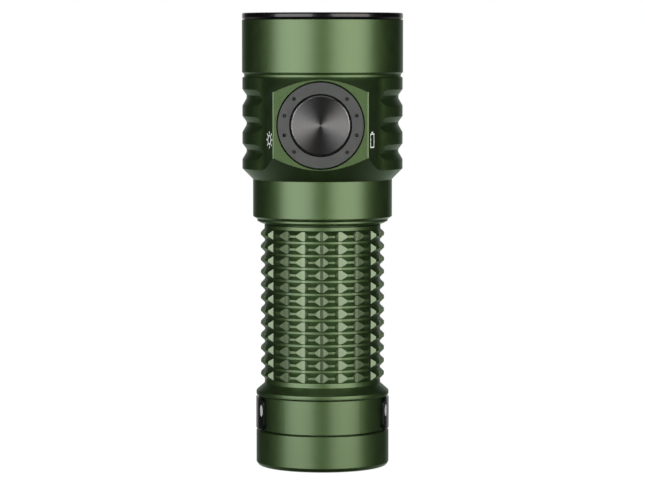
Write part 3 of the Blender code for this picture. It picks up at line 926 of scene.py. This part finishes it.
def tube():
    """The grip tube in one mesh, with columns of points along its grooves, and its two seals."""
    rows = tube_rows()
    unit = math.tau / GROOVES
    columns = []
    for groove in range(GROOVES):
        middle = GROOVE_TURN + unit * groove
        for line, side in GROOVE_COLUMNS:
            column = []
            for radius, height, cut in rows:
                flank = flank_turn(radius) if cut else unit / 4
                offset = {
                    "half": unit / 2,
                    "mid": (flank + unit / 2) / 2,
                    "flank": flank,
                    "floor": math.atan2(GROOVE_HALF, GROOVE_FLOOR),
                    "centre": 0,
                }[line]
                inside = cut and line in ("floor", "centre")
                out = min(radius, GROOVE_FLOOR / math.cos(offset)) if inside else radius
                column.append(about_beam(middle + side * offset, out, height))
            columns.append(column)
    last_cut = max(j for j, row in enumerate(rows) if row[2])

    def in_groove(i, j):
        """Whether a quad lies between a groove's two flanks."""
        return rows[j][2] and j < last_cut and i % len(GROOVE_COLUMNS) in (2, 3, 4, 5)

    shape = bmesh.new()
    grid(shape, columns, second=in_groove)
    finished("grip_tube", shape, "anodised_green", "body_tube", second_look="anodised_cut")
    o_ring("front_seal", 10.85, 0.4, 51.6, "front_o_ring")
    o_ring("rear_seal", 11.35, 0.45, 6.65, "rear_o_ring")


def battery():
    """The cell's can, its washer and its positive cap."""
    top = 56.9  # of the can's rim
    turned(
        "cell_can",
        [
            (0, top - 0.5), (8.8, top - 0.5, 0.1), (9.2, top - 0.9, 0.3),
            (9.2, 7.9, 0.3), (8.9, 7.6, 0.2), (0, 7.6),
        ],
        "cell_sleeve", "battery_cell", segments=96,
    )
    ring("cell_washer", 3.9, 8.6, top - 0.45, top - 0.1, "white_plastic", "battery_insulator", segments=96)
    turned(
        "cell_button", [(0, 58.2), (2.7, 58.2, 0.3), (3.0, top - 0.45), (0, top - 0.45)],
        "nickel", "battery_positive_cap", segments=96,
    )


def tail():
    """The tail cap, the pieces in its floor, and the springs at the cell's two ends."""
    turned(
        "tail_shell",
        [
            (13.3, 7.46, 0.1), (13.42, 7.46, 0.1), (TAIL, 7.27, 0.12), (TAIL, 0.8, 0.35), (13.2, 0.18, 0.3),
            (12.7, 0, 0.2), (6.05, 0, 0.05), (6.05, 1.4), (11.9, 1.4), (11.9, 7.3, 0.1), (12.0, 7.4, 0.05),
        ],
        "anodised_green", "tail_cap",
    )
    turned(
        "charge_pad",
        [(0, 0.06), (1.2, 0.06), (1.45, 0.0, 0.1), (5.0, 0.0, 0.08), (5.0, 1.25), (0, 1.25)],
        "contact_brass", "charge_contact",
    )
    ring("pad_insulator", 5.15, 5.9, 0, 1.4, "black_plastic", "contact_insulator", fillet=0.06)
    disc("hold_magnet", 5.5, 1.55, 3.25, "nickel", "tail_magnet", fillet=0.15, segments=96)
    ring("magnet_carrier", 5.65, 8.9, 1.55, 3.25, "black_plastic", "magnet_holder", segments=96)
    disc("tail_circuit", 9.0, 3.4, 4.2, "board_laminate", "tail_board", fillet=0.05, segments=96)
    coil("cell_spring", (5.6, 3.4), (4.65, 7.2), 3, 0.32, "contact_brass", "tail_spring")
    coil("contact_coil", (3.6, 2.2), (61.25, 58.7), 3, 0.3, "contact_brass", "head_contact_spring")


def rounded_box(wide, tall, corner, steps=4):
    """Points round a rectangle with round corners, as (across, up)."""
    points = []
    for quarter, (x, y) in enumerate(((1, 1), (-1, 1), (-1, -1), (1, -1))):
        for step in range(steps + 1):
            angle = math.pi / 2 * (quarter + step / steps)
            centre = x * (wide / 2 - corner), y * (tall / 2 - corner)
            points.append((centre[0] + corner * math.cos(angle), centre[1] + corner * math.sin(angle)))
    return points


BAND_INNER, BAND_OUTER = 13.05, 13.7
BAND_LOW, BAND_HIGH = 7.75, 14.25
BAND_ENDS = math.radians(68.5), math.tau - math.radians(61.2)  # turns of its right and left ends


def clip_band():
    """The clip's open band, with round corners at its two ends."""
    start, end = BAND_ENDS
    corner = 1.3
    middle, radius = (BAND_LOW + BAND_HIGH) / 2, (BAND_INNER + BAND_OUTER) / 2
    eased = [corner * (1 - math.cos(t)) / radius for t in np.linspace(0, math.pi / 2, 9)]
    turns = [start + e for e in eased]
    turns += list(np.linspace(turns[-1], end - eased[-1], 130))[1:-1]
    turns += [end - e for e in reversed(eased)]
    centres, sections = [], []
    for turn in turns:
        gap = min(turn - start, end - turn) * radius
        cut = corner - math.sqrt(max(0.0, corner**2 - (corner - min(gap, corner)) ** 2))
        outward = Vector((math.sin(turn), -math.cos(turn), 0))
        centres.append(outward * radius + Vector((0, 0, middle)))
        box = rounded_box(BAND_OUTER - BAND_INNER, BAND_HIGH - BAND_LOW - 2 * cut, 0.16)
        sections.append([outward * across + Vector((0, 0, up)) for across, up in box])
    shape = bmesh.new()
    swept(shape, centres, sections)
    finished("clip_band", shape, "clip_black", "clip_collar")


def clip_painted_glint(label, middle_turn):
    """A small thin light grey oval on the band: a painted highlight that stands for a glint."""
    half_wide, half_tall, middle = 0.62, 1.18, 11.75

    def oval(lift):
        """Points round the mark, lifted off the band's outside."""
        loop = []
        for i in range(32):
            t = math.tau * i / 32
            turn = middle_turn + half_wide * math.cos(t) / BAND_OUTER
            loop.append(about_beam(turn, BAND_OUTER + lift, middle + half_tall * math.sin(t)))
        return loop

    shape = bmesh.new()
    thin_solid(shape, oval(-0.05), oval(0.03))
    mark = finished(f"clip_painted_glint_{label}", shape, "mark_grey", "clip_collar", hides=False)


def clip_collar():
    """The clip's band, with a painted highlight near each of its ends: a thin light grey oval."""
    clip_band()
    # Painted highlights: light grey ovals standing for glints near the band's two ends.
    clip_painted_glint("left", math.radians(-64.6))
    clip_painted_glint("right", math.radians(72.3))


def smooth_path(points, steps=8):
    """A Catmull-Rom curve through points."""
    points = [np.array(p, float) for p in points]
    points = [2 * points[0] - points[1], *points, 2 * points[-1] - points[-2]]
    path = []
    for a, b, c, d in zip(points, points[1:], points[2:], points[3:]):
        for step in range(steps):
            t = step / steps
            squared = (2 * a - 5 * b + 4 * c - d) * t**2
            cubed = (3 * b - a - 3 * c + d) * t**3
            path.append(0.5 * (2 * b + (c - a) * t + squared + cubed))
    return path + [points[-2]]


def clip_arm():
    """The clip's sprung arm: curved across like its collar at the root, flat and flared at the tip."""
    route = [
        (13.9, 14.4, 9.0), (14.7, 15.3, 9.0), (15.3, 18.0, 8.8), (15.9, 24.0, 8.4), (15.5, 34.0, 7.8),
        (14.4, 44.0, 7.2), (13.75, 47.5, 7.0), (14.1, 50.0, 6.8), (15.9, 53.0, 6.0),
    ]
    path = smooth_path(route)
    thickness, root, tip = 0.9, route[0][1], route[-1][1]
    curled, rounding = 14, 2.6  # the lengths over which the curl fades and the tip narrows
    centres, sections = [], []
    for i, (y, z, width) in enumerate(path):
        before, after = path[max(i - 1, 0)], path[min(i + 1, len(path) - 1)]
        along = Vector((0, after[0] - before[0], after[1] - before[1])).normalized()
        outward = Vector((0, along.z, -along.y))
        curl = 0.028 * max(0.0, 1 - (z - root) / curled)
        left = tip - z
        narrowed = width * math.sqrt(max(0.02, 1 - max(0.0, 1 - left / rounding) ** 2))
        box = rounded_box(narrowed, thickness, 0.28)
        centres.append(Vector((0, y, z)))
        sections.append([Vector((across, 0, 0)) + outward * (up - curl * across**2) for across, up in box])
    shape = bmesh.new()
    swept(shape, centres, sections)
    return finished("clip_spring_arm", shape, "clip_black", "clip_arm")


# ---- Stage ----

# The stage is in metres
TARGET = Vector((0, 0, 0.0461))
CAMERA_AZIMUTH = math.radians(1.3)
CAMERA_ELEVATION = math.radians(3.75)
CAMERA_DISTANCE = 0.637
CAMERA_LENS = 172.86  # focal length in millimetres, for a sensor 36 mm wide


def towards(azimuth, elevation=0.0):
    """A unit vector from the light, at an azimuth from the front towards +X."""
    flat = math.cos(elevation)
    return Vector((math.sin(azimuth) * flat, -math.cos(azimuth) * flat, math.sin(elevation)))


def camera():
    """A long lens aimed at the light's middle from a little above it."""
    data = bpy.data.cameras.new("camera")
    data.lens = CAMERA_LENS
    data.sensor_width = 36
    obj = bpy.data.objects.new("camera", data)
    bpy.context.scene.collection.objects.link(obj)
    back = towards(CAMERA_AZIMUTH, CAMERA_ELEVATION)
    obj.location = TARGET + back * CAMERA_DISTANCE
    obj.rotation_mode = "QUATERNION"
    obj.rotation_quaternion = (-back).to_track_quat("-Z", "Y")
    bpy.context.scene.camera = obj


def softbox(name, azimuth, width, height, power, tint, distance=0.6, elevation=0.0, outline="RECTANGLE"):
    """An area light aimed at the light's middle, at degrees of azimuth from the camera's."""
    data = bpy.data.lights.new(name, "AREA")
    data.shape = outline
    data.size = width
    data.size_y = height
    data.energy = power
    data.color = tint
    obj = bpy.data.objects.new(name, data)
    bpy.context.scene.collection.objects.link(obj)
    facing = towards(CAMERA_AZIMUTH + math.radians(azimuth), math.radians(elevation))
    obj.location = TARGET + facing * distance
    obj.rotation_mode = "QUATERNION"
    obj.rotation_quaternion = facing.to_track_quat("Z", "Y")
    obj.visible_camera = False


def world():
    """White behind the light for the camera, and a dark studio with a lit back wall in reflections.

    The studio also glows low down at the back, which lights the undersides.
    """
    made = bpy.data.worlds.new("studio")
    bpy.context.scene.world = made
    made.use_nodes = True
    nodes, links = made.node_tree.nodes, made.node_tree.links
    nodes.clear()

    def ramp(direction, start, end, low, high):
        """Goes smoothly from low to high while the direction's part goes from start to end."""
        node = nodes.new("ShaderNodeMapRange")
        node.interpolation_type = "SMOOTHSTEP"
        links.new(direction, node.inputs["Value"])
        for name, value in (("From Min", start), ("From Max", end), ("To Min", low), ("To Max", high)):
            node.inputs[name].default_value = value
        return node.outputs[0]

    def combined(operation, first, second):
        """One arithmetic operation on two values."""
        node = nodes.new("ShaderNodeMath")
        node.operation = operation
        links.new(first, node.inputs[0])
        links.new(second, node.inputs[1])
        return node.outputs[0]

    coordinates = nodes.new("ShaderNodeTexCoord")
    split = nodes.new("ShaderNodeSeparateXYZ")
    links.new(coordinates.outputs["Generated"], split.inputs[0])
    back, up = split.outputs["Y"], split.outputs["Z"]
    glow = combined("MULTIPLY", ramp(back, -0.08, 0.95, 0, 0.62), ramp(up, -0.12, -0.4, 0, 0.62))
    wall = ramp(back, 0.78, 1.0, 0.018, 0.5)
    studio, white = nodes.new("ShaderNodeBackground"), nodes.new("ShaderNodeBackground")
    for background in (studio, white):
        background.inputs["Color"].default_value = (1, 1, 1, 1)
    links.new(combined("ADD", glow, wall), studio.inputs["Strength"])
    path = nodes.new("ShaderNodeLightPath")
    pick = nodes.new("ShaderNodeMixShader")
    links.new(path.outputs["Is Camera Ray"], pick.inputs[0])
    links.new(studio.outputs[0], pick.inputs[1])
    links.new(white.outputs[0], pick.inputs[2])
    out = nodes.new("ShaderNodeOutputWorld")
    links.new(pick.outputs[0], out.inputs["Surface"])


def floor():
    """A pale floor with a hole that the tail cap covers, so that the cap can be screwed off downwards."""
    mesh = bpy.data.meshes.new("floor")
    shape = bmesh.new()
    hole, edge = 0.0128, 0.25  # radii
    for radius in (hole, edge):
        bmesh.ops.create_circle(shape, segments=96, radius=radius)
    bmesh.ops.bridge_loops(shape, edges=shape.edges)
    shape.to_mesh(mesh)
    shape.free()
    made = bpy.data.materials.new("floor")
    made.use_nodes = True
    shader = made.node_tree.nodes["Principled BSDF"]
    shader.inputs["Base Color"].default_value = (0.8, 0.8, 0.8, 1)
    shader.inputs["Roughness"].default_value = 0.9
    shader.inputs["Specular IOR Level"].default_value = 0.1
    shader.inputs["Emission Color"].default_value = (1, 1, 1, 1)
    shader.inputs["Emission Strength"].default_value = 0.92
    mesh.materials.append(made)
    obj = bpy.data.objects.new("floor", mesh)
    obj.location.z = -0.0002
    bpy.context.scene.collection.objects.link(obj)
    obj.visible_glossy = False
    obj.visible_shadow = False


def stage():
    """The camera, the lights, the studio round them and the floor."""
    camera()
    softbox("softbox_left", -42, 0.64, 0.52, 2.5, (1, 1, 1), elevation=9)
    softbox("softbox_right", 41, 0.64, 0.52, 2.42, (1, 0.99, 0.93), elevation=9)
    softbox("fill_front", 0, 0.34, 0.44, 0.02, (1, 0.95, 0.82), distance=0.7, elevation=5)
    softbox("fill_top", 0, 0.66, 0.66, 0.11, (1, 1, 1), elevation=90, outline="ELLIPSE")
    world()
    floor()
    bpy.context.scene.view_settings.view_transform = "Standard"


def carried_over():
    """Gives each CAD node that still shows the look of its slot."""
    for name, node in frame["nodes"].items():
        node.data.materials.clear()
        node.data.materials.append(LOOKS[SLOT_OF[name]].material)


carried_over()
head()
icons()
bezel_and_lens()
reflector()
emitter()
drilled_ring()
button()
switch_insides()
tube()
battery()
tail()
clip_collar()
clip_arm()
stage()
